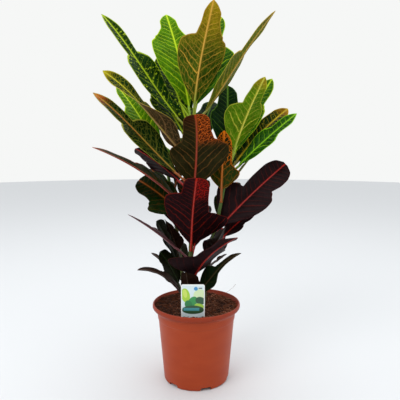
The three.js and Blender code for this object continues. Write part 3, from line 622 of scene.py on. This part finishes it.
# Each leaf: name, stem, height on it, stalk length, tip, (rise, fall, sway), (roll, twist), fold, left and
# right half widths of lobe, waist and tongue, where each lobe ends, how blunt the tongue is, and its kind.
LEAVES = [
    ('crown_front', 'A', 558, 34, (34, -70, 778), (12, 6, 0), (28, 0),
     12, (47, 33, 23), (49, 20, 14), (0.65, 0.62, 0), 'crown'),
    ('crown_left', 'A', 552, 34, (-66, 72, 790), (10, 8, 0), (20, 0),
     10, (54, 36, 22), (36, 26, 17), (0.72, 0.7, 0), 'lime'),
    ('crown_back', 'A', 556, 34, (54, 50, 779), (10, 8, 0), (-24, 0),
     8, (34, 26, 20), (62, 28, 20), (0.66, 0.6, 0.2), 'vivid'),
    ('spear_right', 'A', 545, 38, (156, -30, 769), (-2, 5, 0), (10, 0),
     6, (42, 17, 17), (40, 17, 17), (0.52, 0.52, 0), 'spear'),
    ('spear_left', 'A', 534, 38, (-200, 40, 782), (-6, 6, 0), (35, 0),
     14, (34, 14, 16), (31, 13, 15), (0.55, 0.56, 0), 'dark'),
    ('upright_left', 'A', 522, 36, (-81, 100, 708), (8, 6, 0), (20, 0),
     12, (40, 28, 24), (44, 28, 24), (0.64, 0.64, 0.2), 'dark'),
    ('inner_left', 'A', 505, 34, (-112, 85, 658), (4, 6, 0), (20, 0),
     12, (36, 24, 20), (42, 24, 20), (0.6, 0.6, 0.1), 'dark'),
    ('twisted_left', 'A', 476, 28, (-185, -34, 654), (0, 12, 0), (-50, 118),
     12, (56, 24, 20), (44, 20, 20), (0.5, 0.5, 0), 'russet'),
    ('bud_front', 'A', 560, 8, (-35, -32, 594), (5, 5, 0), (0, 0),
     20, (6, 5, 4), (6, 5, 4), (0.6, 0.6, 0), 'lime'),
    ('mid_right', 'A', 470, 34, (37, 95, 606), (8, 6, 0), (-10, 0),
     12, (36, 24, 20), (26, 22, 20), (0.62, 0.62, 0.3), 'deep'),
    ('mid_olive', 'A', 392, 32, (14, 50, 488), (10, 8, 0), (-20, 0),
     12, (26, 17, 18), (26, 17, 18), (0.6, 0.6, 0.3), 'olive'),
    ('tip_left', 'A', 425, 38, (-211, -10, 614), (-4, 7, 0), (40, 0),
     14, (34, 15, 16), (40, 13, 15), (0.58, 0.54, 0), 'flame'),
    ('red_front', 'A', 390, 32, (-1, -132, 561), (24, 40, -10), (0, 0),
     10, (68, 36, 27), (54, 30, 26), (0.5, 0.47, 0.8), 'red'),
    ('hidden_left', 'A', 412, 34, (-133, 34, 500), (6, 8, 0), (25, 0),
     12, (32, 24, 20), (30, 22, 18), (0.6, 0.6, 0.2), 'maroon'),
    ('knife_left', 'A', 368, 38, (-206, -50, 503), (14, 14, 0), (12, 0),
     14, (34, 16, 14), (34, 16, 14), (0.5, 0.5, 0), 'knife'),
    ('round_left', 'A', 350, 26, (-125, 25, 432), (6, 8, 0), (45, 0),
     10, (50, 30, 28), (36, 24, 26), (0.48, 0.6, 1), 'ember'),
    ('maroon_front', 'A', 286, 14, (2, -128, 447), (22, 18, 0), (0, 0),
     10, (78, 34, 30), (58, 26, 24), (0.33, 0.68, 0.9), 'blush'),
    ('thin_left', 'A', 268, 34, (-141, -30, 365), (8, 8, 0), (-8, 0),
     14, (24, 12, 10), (24, 12, 10), (0.5, 0.5, 0), 'purple'),
    ('maroon_low', 'A', 222, 14, (80, -95, 330), (20, 15, 0), (10, 0),
     12, (50, 28, 22), (80, 32, 22), (0.5, 0.28, 0.2), 'maroon'),
    ('curled_left', 'A', 174, 26, (-122, -40, 250), (25, 40, 0), (10, 0),
     14, (22, 12, 11), (20, 12, 11), (0.5, 0.5, 0.2), 'umber'),
    ('broad_low', 'C', 180, 22, (-80, 14, 276), (10, 10, 0), (52, 0),
     10, (34, 26, 20), (29, 24, 20), (0.6, 0.6, 0.6), 'bottle'),
    ('young_left', 'C', 470, 26, (-183, 104, 643), (6, 8, 0), (25, 0),
     10, (38, 22, 18), (38, 19, 17), (0.62, 0.6, 0), 'lime'),
    ('dark_left', 'C', 230, 28, (-88, 26, 342), (8, 8, 0), (22, 0),
     12, (40, 30, 26), (36, 28, 26), (0.64, 0.64, 0.7), 'bottle'),
    ('sliver_left', 'C', 208, 26, (-104, 62, 262), (8, 10, 0), (0, 0),
     12, (18, 10, 8), (18, 10, 8), (0.5, 0.5, 0), 'umber'),
    ('right_front', 'B', 470, 30, (135, -50, 640), (8, 6, 0), (20, 0),
     12, (38, 22, 19), (46, 20, 17), (0.62, 0.56, 0), 'green'),
    ('right_behind', 'B', 462, 30, (166, 60, 652), (8, 6, 0), (-40, 0),
     12, (24, 15, 17), (28, 16, 18), (0.6, 0.6, 0.1), 'vivid'),
    ('right_dark', 'B', 455, 32, (70, 80, 640), (10, 6, 0), (-10, 0),
     12, (40, 26, 22), (36, 26, 22), (0.6, 0.6, 0.3), 'deep'),
    ('right_tip', 'B', 448, 32, (203, 66, 588), (10, 8, 0), (-40, 0),
     12, (40, 22, 20), (36, 20, 20), (0.55, 0.55, 0.2), 'rimmed'),
    ('right_long', 'B', 440, 32, (207, -10, 572), (4, 4, 0), (-45, 0),
     14, (24, 15, 14), (27, 17, 16), (0.6, 0.6, 0), 'bright'),
    ('right_edge', 'B', 418, 24, (127, 5, 495), (0, 4, 0), (0, 0),
     8, (11, 7, 6), (11, 7, 6), (0.5, 0.5, 0), 'olive'),
    ('orange_front', 'B', 386, 28, (56, -48, 536), (16, 10, 0), (10, 0),
     14, (38, 21, 19), (30, 17, 17), (0.32, 0.36, 0), 'orange'),
    ('maroon_right', 'B', 325, 16, (190, 10, 468), (4, 4, 0), (-60, 0),
     10, (66, 26, 29), (48, 29, 34), (0.41, 0.62, 1), 'maroon'),
    ('maroon_side', 'B', 290, 30, (130, 45, 367), (2, 4, 0), (-35, 0),
     10, (22, 15, 18), (20, 14, 16), (0.5, 0.5, 0.8), 'maroon'),
    ('sliver_right', 'B', 246, 20, (67, 26, 268), (8, 6, 0), (0, 0),
     12, (8, 5, 4), (8, 5, 4), (0.5, 0.5, 0), 'umber'),
    ('low_right', 'A', 186, 16, (91, -62, 291), (-6, 22, 0), (-66, 30),
     12, (26, 11, 8), (24, 10, 7), (0.44, 0.44, 0), 'rust'),
    ('back_high', 'A', 500, 36, (-62, 120, 628), (12, 10, 0), (0, 0),
     12, (38, 26, 22), (34, 26, 22), (0.6, 0.6, 0.3), 'dark'),
    ('back_mid', 'A', 440, 36, (6, 128, 545), (12, 10, 0), (0, 0),
     12, (42, 26, 22), (42, 26, 22), (0.6, 0.6, 0.3), 'flame'),
    ('back_red', 'A', 340, 36, (-2, 128, 460), (14, 12, 0), (0, 0),
     12, (38, 26, 24), (38, 26, 24), (0.55, 0.55, 0.6), 'red'),
    ('back_low', 'A', 262, 32, (24, 115, 365), (14, 12, 0), (0, 0),
     12, (28, 20, 18), (28, 20, 18), (0.55, 0.55, 0.6), 'maroon'),
    ('back_right', 'B', 420, 34, (112, 128, 552), (12, 10, 0), (0, 0),
     12, (40, 24, 20), (40, 24, 20), (0.58, 0.58, 0.3), 'dark'),
    ('back_right_mid', 'B', 322, 32, (96, 118, 420), (12, 10, 0), (0, 0),
     12, (30, 20, 18), (32, 20, 18), (0.55, 0.55, 0.6), 'ember'),
    ('back_right_low', 'B', 232, 28, (62, 105, 312), (12, 12, 0), (0, 0),
     12, (30, 20, 18), (30, 20, 18), (0.5, 0.5, 0.5), 'maroon'),
    ('back_left', 'C', 420, 32, (-92, 130, 508), (12, 10, 0), (0, 0),
     12, (36, 24, 20), (36, 24, 20), (0.6, 0.6, 0.2), 'green'),
    ('back_left_mid', 'C', 345, 32, (-108, 122, 452), (12, 10, 0), (0, 0),
     12, (34, 22, 20), (34, 22, 20), (0.55, 0.55, 0.5), 'ember'),
    ('back_left_low', 'C', 300, 30, (-50, 132, 388), (12, 12, 0), (0, 0),
     12, (36, 22, 20), (34, 22, 20), (0.55, 0.55, 0.6), 'maroon'),
    ('back_base', 'C', 205, 26, (-40, 112, 276), (12, 12, 0), (0, 0),
     12, (28, 18, 16), (28, 18, 16), (0.5, 0.5, 0.5), 'bottle'),
    ('low_front', 'A', 162, 12, (-20, -60, 250), (10, 10, 0), (12, 0),
     10, (34, 28, 24), (18, 16, 14), (0.6, 0.6, 0.8), 'black'),
    ('inner_low', 'C', 256, 22, (-62, -24, 350), (10, 10, 0), (30, 0),
     12, (30, 24, 20), (28, 24, 20), (0.6, 0.6, 0.5), 'black'),
    ('inner_right', 'B', 240, 24, (58, -40, 338), (14, 14, 0), (-15, 0),
     12, (34, 26, 22), (28, 24, 20), (0.55, 0.55, 0.5), 'black'),
    ('inner_mid', 'C', 396, 22, (-14, 96, 498), (12, 12, 0), (0, 0),
     12, (17, 15, 13), (22, 18, 15), (0.6, 0.6, 0.3), 'ember'),
]


def eased(knots, values, at):
    """A smooth curve through the values that never swings past them."""
    k = max(j for j in range(len(knots) - 1) if knots[j] <= at + 1e-9)
    steps = [(values[j + 1] - values[j]) / (knots[j + 1] - knots[j]) for j in range(len(knots) - 1)]

    def slope(j):
        if j == 0 or j == len(steps):
            return steps[min(j, len(steps) - 1)]
        before, after = steps[j - 1], steps[j]
        return 2 * before * after / (before + after) if before * after > 0 else 0

    span = knots[k + 1] - knots[k]
    return bridge(values[k], values[k + 1], slope(k), slope(k + 1), span, (at - knots[k]) / span)


def smoothly(low, high, value):
    """0 below the low value, 1 above the high one, and a soft step between them."""
    t = min(max((value - low) / (high - low), 0), 1)
    return t * t * (3 - 2 * t)


def leaf_spine(stem, height, stalk, tip, bend, turns):
    """The curve of a leaf from its stem to its tip: its length, and place and directions along it."""
    centre, radius = stem_at(stem, height)
    rise, fall, sway = bend
    roll, twist = turns
    end = Vector(tip)
    out = Vector((end.x - centre.x, end.y - centre.y, 0)).normalized()
    start = centre + out * (radius + GAP)
    ahead = (end - start).normalized()
    chord = (end - start).length
    right = out.cross(UP).normalized()
    above = right.cross(ahead).normalized()

    def lifted(angle):
        return ahead * math.cos(math.radians(angle)) + above * math.sin(math.radians(angle))

    near = start + lifted(rise) * chord * BASE_PULL + right * sway
    far = end - lifted(-fall) * chord * TIP_PULL + right * sway
    places, runs = [], [0]
    for step in range(SPINE_STEPS + 1):
        t = step / SPINE_STEPS
        places.append(start * (1 - t) ** 3 + near * 3 * t * (1 - t) ** 2 + far * 3 * t * t * (1 - t)
                      + end * t ** 3)
        if step:
            runs.append(runs[-1] + (places[-1] - places[-2]).length)
    length = runs[-1]
    stalk_share = stalk / length

    def frame_at(share):
        """Place, direction to the right and direction of the upper face, at a share of the length."""
        run = min(max(share, 0), 1) * length
        k = min(max(0, bisect_left(runs, run) - 1), SPINE_STEPS - 1)
        part = (run - runs[k]) / (runs[k + 1] - runs[k])
        before, after = places[max(k - 1, 0)], places[min(k + 2, SPINE_STEPS)]
        tangent = ((places[k + 1] - before) * (1 - part) + (after - places[k]) * part).normalized()
        point = places[k].lerp(places[k + 1], part) + tangent * (share * length - run)
        side = (right - tangent * right.dot(tangent)).normalized()
        face = side.cross(tangent)
        along = max((share - stalk_share) / (1 - stalk_share), 0)
        turn = math.radians(roll * smoothly(0, stalk_share, share) + twist * along)
        return (point, side * math.cos(turn) + face * math.sin(turn),
                face * math.cos(turn) - side * math.sin(turn))

    return length, stalk_share, out, frame_at


def blended(first, second, share):
    """A colour between two."""
    return [a + (b - a) * share for a, b in zip(first, second)]


# what a point of a leaf knows: millimetres from the midrib, number of its side vein, millimetres from the
# margin, share of the blade's length, millimetres between side veins, and how stout and how bold they are
MEASURES = ('across', 'vein', 'edge', 'along', 'gap', 'stout', 'bold')
COLOURS = ('ground', 'line', 'marks')


def leaf_layers(shape):
    """The attributes of a leaf's points, by name, new on this shape."""
    floats, colours = shape.verts.layers.float, shape.verts.layers.float_color
    return {**{key: floats.new(key) for key in MEASURES}, **{key: colours.new(key) for key in COLOURS}}


def leaf(name, stem, height, stalk, tip, bend, turns, fold, left, right, ends, kind):
    """One leaf: its blade, with an upper face and an underside, and the stalk that runs on as the midrib."""
    grow = random.Random(name)
    length, stalk_share, out, frame_at = leaf_spine(stem, height, stalk, tip, bend, turns)
    blade = length * (1 - stalk_share)
    vein_count = max(round(blade / VEIN_SPACING), 6)
    rows = max(round(blade / ROW_SPACING), 24)
    colours, marks, tip_from = KINDS[kind]
    upper, upper_vein, under, under_vein, stalk_colour, upper_tip, under_tip = map(linear, colours.split())
    left_end, right_end, blunt = ends
    knots = [vein[0] for vein in VEINS]

    def stretched(share, lobe_end):
        if share < LOBE_END:
            return share * lobe_end / LOBE_END
        return lobe_end + (share - LOBE_END) * (1 - lobe_end) / (1 - LOBE_END)

    def half_width(vein, sizes):
        _, _, lobe, waist, tongue = vein
        full = tongue ** (1 - 0.6 * blunt) if tongue > 0 and waist == 0 else tongue
        return max(lobe * sizes[0] + waist * sizes[1] + full * sizes[2], 0.5)

    middles = [stretched(vein[0], (left_end + right_end) / 2) for vein in VEINS]
    margins = {side: [[stretched(vein[1], lobe_end) for vein in VEINS],
                      [half_width(vein, sizes) for vein in VEINS]]
               for side, lobe_end, sizes in ((-1, left_end, left), (1, right_end, right))}
    by_row = [(row / rows, eased(knots, middles, row / rows),
               {side: [eased(knots, values, row / rows) for values in margins[side]] for side in (-1, 1)})
              for row in range(rows + 1)]
    waves = {side: [(grow.uniform(1.2, 4.2), grow.uniform(0, math.tau), grow.uniform(0.5, 1.1))
                    for _ in range(3)] for side in (-1, 1)}

    def paint(vert, ground, tip_colour, line, sideways):
        """The colours and marks of one face of the blade at a point."""
        along = vert[layer['along']]
        ground = blended(ground, tip_colour, smoothly(tip_from, 1, along))
        if kind in RED_RIBS and abs(vert[layer['across']]) < RED_RIB_HALF:
            line = blended(stalk_colour, line, RED_RIB_SHARE)
        flush = 0
        if kind in FLUSHES:
            side, flush_ground, flush_line, begins = FLUSHES[kind]
            beside = smoothly(0, 0.2, sideways * side) if side else 1
            flush = beside * smoothly(begins, begins + 0.15, along)
        if flush:
            ground = blended(ground, linear(flush_ground), flush)
            line = blended(line, linear(flush_line), flush)
        vert[layer['ground']] = ground
        vert[layer['line']] = line
        vert[layer['marks']] = [max(marks[0], flush), marks[1], marks[2], 1]
        vert[layer['bold']] = max(marks[3], flush)

    shape = bmesh.new()
    layer = leaf_layers(shape)
    verts = bmesh.ops.create_grid(shape, x_segments=2 * HALF_COLUMNS, y_segments=rows, size=1)['verts']
    for vert in verts:
        share, middle, sides = by_row[round((vert.co.y + 1) / 2 * rows)]
        side = 1 if vert.co.x > 0 else -1
        u = abs(vert.co.x)
        edge_share, edge_width = sides[side]
        along = middle + (edge_share - middle) * u ** 1.15
        point, across, face = frame_at(stalk_share + (1 - stalk_share) * along)
        w = edge_width * u
        slant = LOBE_SLANT + (TONGUE_SLANT - LOBE_SLANT) * smoothly(0.35, 0.75, along)
        joint = along - (slant * w + VEIN_CURVE * w * w) / blade
        number = vein_count * (EVEN_VEINS * joint + (1 - EVEN_VEINS) * joint * abs(joint))
        number += RIGHT_VEINS_LATER if side > 0 else 0
        gap = blade / (vein_count * (EVEN_VEINS + 2 * (1 - EVEN_VEINS) * abs(joint))) / math.hypot(1, slant)
        from_edge = edge_width - w
        quilt = marks[3] * min(QUILT * gap, HIGHEST_QUILT) * abs(math.sin(math.pi * number))
        quilt *= smoothly(0, 8, w) * smoothly(0, 6, from_edge)
        sway = sum(size * math.sin(math.tau * pace * along + phase) for pace, phase, size in waves[side])
        sway *= u ** 2 * smoothly(4, 20, edge_width) * smoothly(0, 0.12, along)
        lift = edge_width * math.sin(math.radians(fold)) * u * (1.5 - 0.5 * u) + quilt + sway
        vert.co = point + across * side * w * math.cos(math.radians(fold)) + face * lift
        # the side veins that end at a lobe's widest are the stoutest
        stout = 1 + 1.1 * math.exp(-((share - 0.3) / 0.05) ** 2)
        for key, value in (('across', side * w), ('vein', number), ('edge', from_edge), ('along', along),
                           ('gap', gap), ('stout', stout)):
            vert[layer[key]] = value
        paint(vert, upper, upper_tip, upper_vein, side * u)
    shape.normal_update()
    for vert in verts:
        vert.co += vert.normal * BLADE / 2
    made = bmesh.ops.extrude_face_region(shape, geom=shape.faces[:], use_keep_orig=True)['geom']
    for vert in (v for v in made if isinstance(v, bmesh.types.BMVert)):
        vert.co -= vert.normal * BLADE
        paint(vert, under, under_tip, under_vein, vert[layer['across']] / 20)
    for face in made:
        if isinstance(face, bmesh.types.BMFace):
            face.material_index = 1
    bmesh.ops.recalc_face_normals(shape, faces=shape.faces)

    rib_rings = max(int(length / RIB_RING), 20)

    def rib_point(vert, turn, ring):
        """One point of the stalk and midrib, thick at the foot and at the start of the blade."""
        share = min(max(ring - 1, 0), rib_rings - 2) / (rib_rings - 2) * RIB_END
        point, across, face = frame_at(share)
        along = max((share - stalk_share) / (1 - stalk_share), 0)
        run = share * length
        thick = (STALK_RADIUS - RIB_LOSS * smoothly(0, 0.1, along)) * (1 - along) ** 0.75 + RIB_TIP
        swell = 1 + 0.5 * math.exp(-(run / 3.5) ** 2) + 0.12 * math.exp(-((run - stalk) / 4) ** 2)
        radius = 0 if ring in (0, rib_rings) else thick * swell
        drop = (thick - RIB_PROUD) * smoothly(0.8, 1.15, share / stalk_share)
        foot = out * (-2.2 * math.exp(-run / 1.5))
        vert.co = point + foot - face * drop + (across * math.cos(turn) + face * math.sin(turn)) * radius
        veined = smoothly(0, 0.25, along) * (RED_RIB_SHARE if kind in RED_RIBS else 1)
        veins = upper_vein if math.sin(turn) > 0 else under_vein
        vert[rib_layer['line']] = blended(stalk_colour, veins, veined)

    rib = bmesh.new()
    rib_layer = leaf_layers(rib)
    rolled(rib, 8, rib_rings, rib_point)
    for face in rib.faces:
        face.material_index = 2
    join(shape, rib)
    young = height > YOUNG_ABOVE or name in YOUNG
    slot = 'leaf_young' if young else 'leaf_middle' if height > OLD_BELOW else 'leaf_old'
    piece(name + '_leaf', shape, [upper_face, underside, leaf_stalk], slot, 'leaf_' + name, sharp=60)


def leaf_face(name, roughness, line_rise, halo_strength):
    """A face of a croton leaf: its ground, side veins with their halos, fine net, speckle and margin."""
    material, tree, shader = finish(name, Roughness=roughness, IOR=1.4, Specular_IOR_Level=0.05)
    across, vein, edge, _, gap, stout, bold = (
        add(tree, 'Attribute', attribute_name=key).outputs['Fac'] for key in MEASURES)
    ground, line, marks = (add(tree, 'Attribute', attribute_name=key).outputs['Color'] for key in COLOURS)
    net_share, speckle_share, margin_share = add(tree, 'SeparateColor', marks).outputs
    # clouds of noise, from 22 mm across to 2 mm: patches, wandering veins, speckle, breaks and skin
    where = add(tree, 'VectorMath', add(tree, 'TexCoord').outputs['Object'], 1000, operation='SCALE')
    patchy, wandering, speckled, rib_breaks, breaks, skin = (
        add(tree, 'TexNoise', where, Scale=scale, Detail=detail, Roughness=0.6) for scale, detail in
        ((0.045, 3), (0.06, 3), (0.16, 2), (0.35, 3), (0.4, 3), (0.5, 2)))

    # the side veins: each has its own strength, is stouter near the margin, and fades just before it
    wobble = add(tree, 'MapRange', wandering, To_Min=-0.35, To_Max=0.35)
    number = add(tree, 'Math', vein, wobble, operation='ADD')
    apart = add(tree, 'Math', add(tree, 'Math', number, 0.5, operation='PINGPONG'), gap, operation='MULTIPLY')
    spread = add(tree, 'Math', add(tree, 'MapRange', edge, From_Max=24, To_Min=0.22, To_Max=0.55), stout,
                 operation='MULTIPLY')
    each = add(tree, 'Math', add(tree, 'Math', across, operation='SIGN'), 40,
               add(tree, 'Math', number, operation='ROUND'), operation='MULTIPLY_ADD')
    weight = bold
    for share in (add(tree, 'MapRange', add(tree, 'TexWhiteNoise', each, noise_dimensions='1D'), To_Min=0.4),
                  add(tree, 'MapRange', edge, From_Min=1, From_Max=6, To_Min=0.35)):
        weight = add(tree, 'Math', weight, share, operation='MULTIPLY')
    inner, outer, halo_outer = (add(tree, 'Math', spread, times, operation='MULTIPLY')
                                for times in (0.5, 1.5, 5))
    halo_weight = add(tree, 'Math', breaks, weight, operation='MULTIPLY')

    # the net is a mesh of cells that lie along the side veins
    leafwise = add(tree, 'CombineXYZ', add(tree, 'Math', across, 0.13, wobble, operation='MULTIPLY_ADD'),
                   add(tree, 'Math', number, 1.5, operation='MULTIPLY'))
    cells = add(tree, 'TexVoronoi', leafwise, Scale=1, feature='DISTANCE_TO_EDGE', voronoi_dimensions='2D')
    from_rib = add(tree, 'Math', across, operation='ABSOLUTE')
    # each mark: what it follows, from where to where, its strength at both, and what that is multiplied by
    side_veins, net, *others = (
        add(tree, 'Math', add(tree, 'MapRange', *span, interpolation_type='SMOOTHSTEP'), share,
            operation='MULTIPLY')
        for *span, share in (
            (apart, inner, outer, 1, 0, weight), (cells, 0.025, 0.11, 1, 0, net_share),
            (apart, spread, halo_outer, halo_strength, 0, halo_weight), (from_rib, 1.2, 2.4, 1, 0, 1),
            (from_rib, 1.2, 5, 0.45, 0, rib_breaks), (speckled, 0.61, 0.65, 0, 1, speckle_share),
            (edge, 0.5, 1.9, 1, 0, margin_share)))
    raised = add(tree, 'Math', side_veins, net, operation='MAXIMUM')
    lines = raised
    for mark in others:
        lines = add(tree, 'Math', lines, mark, operation='MAXIMUM')

    patches = add(tree, 'MapRange', patchy, 0.3, 0.7, 0.6, 1.4)
    ground = add(tree, 'VectorMath', ground, patches, operation='SCALE')
    feed(shader.inputs['Base Color'], add(tree, 'Mix', lines, ground, line, data_type='RGBA'))
    height = add(tree, 'Math', raised, line_rise, add(tree, 'Math', skin, 0.5, operation='MULTIPLY'),
                 operation='MULTIPLY_ADD')
    feed(shader.inputs['Normal'], add(tree, 'Bump', Height=height, Strength=0.35, Distance=0.0005))
    return material


# Croton leaf: leathery. Above, a waxed skin with a soft gloss and sunken veins; below, a matt skin with the
# veins standing out; the stalk is round and smooth, in the colour of the veins.
upper_face = leaf_face('waxy croton leaf above', roughness=0.38, line_rise=-0.8, halo_strength=0.3)
underside = leaf_face('matt croton leaf below', roughness=0.46, line_rise=0.9, halo_strength=0.15)
leaf_stalk, tree, shader = finish('smooth croton leaf stalk', Roughness=0.42)
feed(shader.inputs['Base Color'], add(tree, 'Attribute', attribute_name='line'))
for row in LEAVES:
    leaf(*row)

# The floor and the light: a plain pale floor, and soft studio lamps to the left, to the right and above.
# The walls and the ceiling are the world's own light.
FLOOR_RADIUS = 6
LIT_AT = (0, 0, 0.42)
# each lamp: place, size and power
LAMPS = {'lamp_left': ((-1.3, -1.5, 2.0), 1.4, 24), 'lamp_right': ((1.6, -1.1, 1.3), 1.6, 6),
         'lamp_above': ((0.1, 0.7, 2.3), 1.6, 14)}
floor = bmesh.new()
bmesh.ops.create_circle(floor, cap_ends=True, segments=96, radius=FLOOR_RADIUS)
# Matt paint: pale grey, without gloss.
pale_paint, _, _ = finish('pale matt paint', Base_Color=linear('#d6d8da'), Roughness=0.9)
studio_floor = put('studio_floor', as_mesh('studio_floor', floor))
studio_floor.data.materials.append(pale_paint)

world = bpy.data.worlds.new('soft studio')
bpy.context.scene.world = world
world.use_nodes = True
room = world.node_tree
_, back, up = add(room, 'SeparateXYZ', add(room, 'TexCoord').outputs['Generated']).outputs
nearer = add(room, 'MapRange', back, -0.5, 0.35)
walls = add(room, 'Mix', nearer, linear('#a8a8a6'), linear('#f6f7f6'), data_type='RGBA')
ceiling = add(room, 'MapRange', up, 0.35, 0.8)
feed(room.nodes['Background'].inputs['Color'],
     add(room, 'Mix', ceiling, walls, (1.12, 1.14, 1.16, 1), data_type='RGBA'))
for name, (place, size, power) in LAMPS.items():
    lamp = bpy.data.lights.new(name, 'AREA')
    lamp.size = size
    lamp.energy = power
    stand = put(name, lamp)
    stand.location = place
    stand.rotation_euler = (Vector(LIT_AT) - Vector(place)).to_track_quat('-Z', 'Y').to_euler()

# The camera: a normal lens, a little above the middle of the plant and tilted down to it, as it was worked
# out from the rim and the foot of the pot.
CAMERA_AT = (0.008, -0.95, 0.506)
CAMERA_DOWN = 6.85
camera = bpy.data.cameras.new('camera')
camera.lens = 40.5
camera.sensor_width = 36
viewer = put('camera', camera)
viewer.location = CAMERA_AT
viewer.rotation_euler = (math.radians(90 - CAMERA_DOWN), 0, 0)
bpy.context.scene.camera = viewer
bpy.context.scene.view_settings.view_transform = 'Standard'
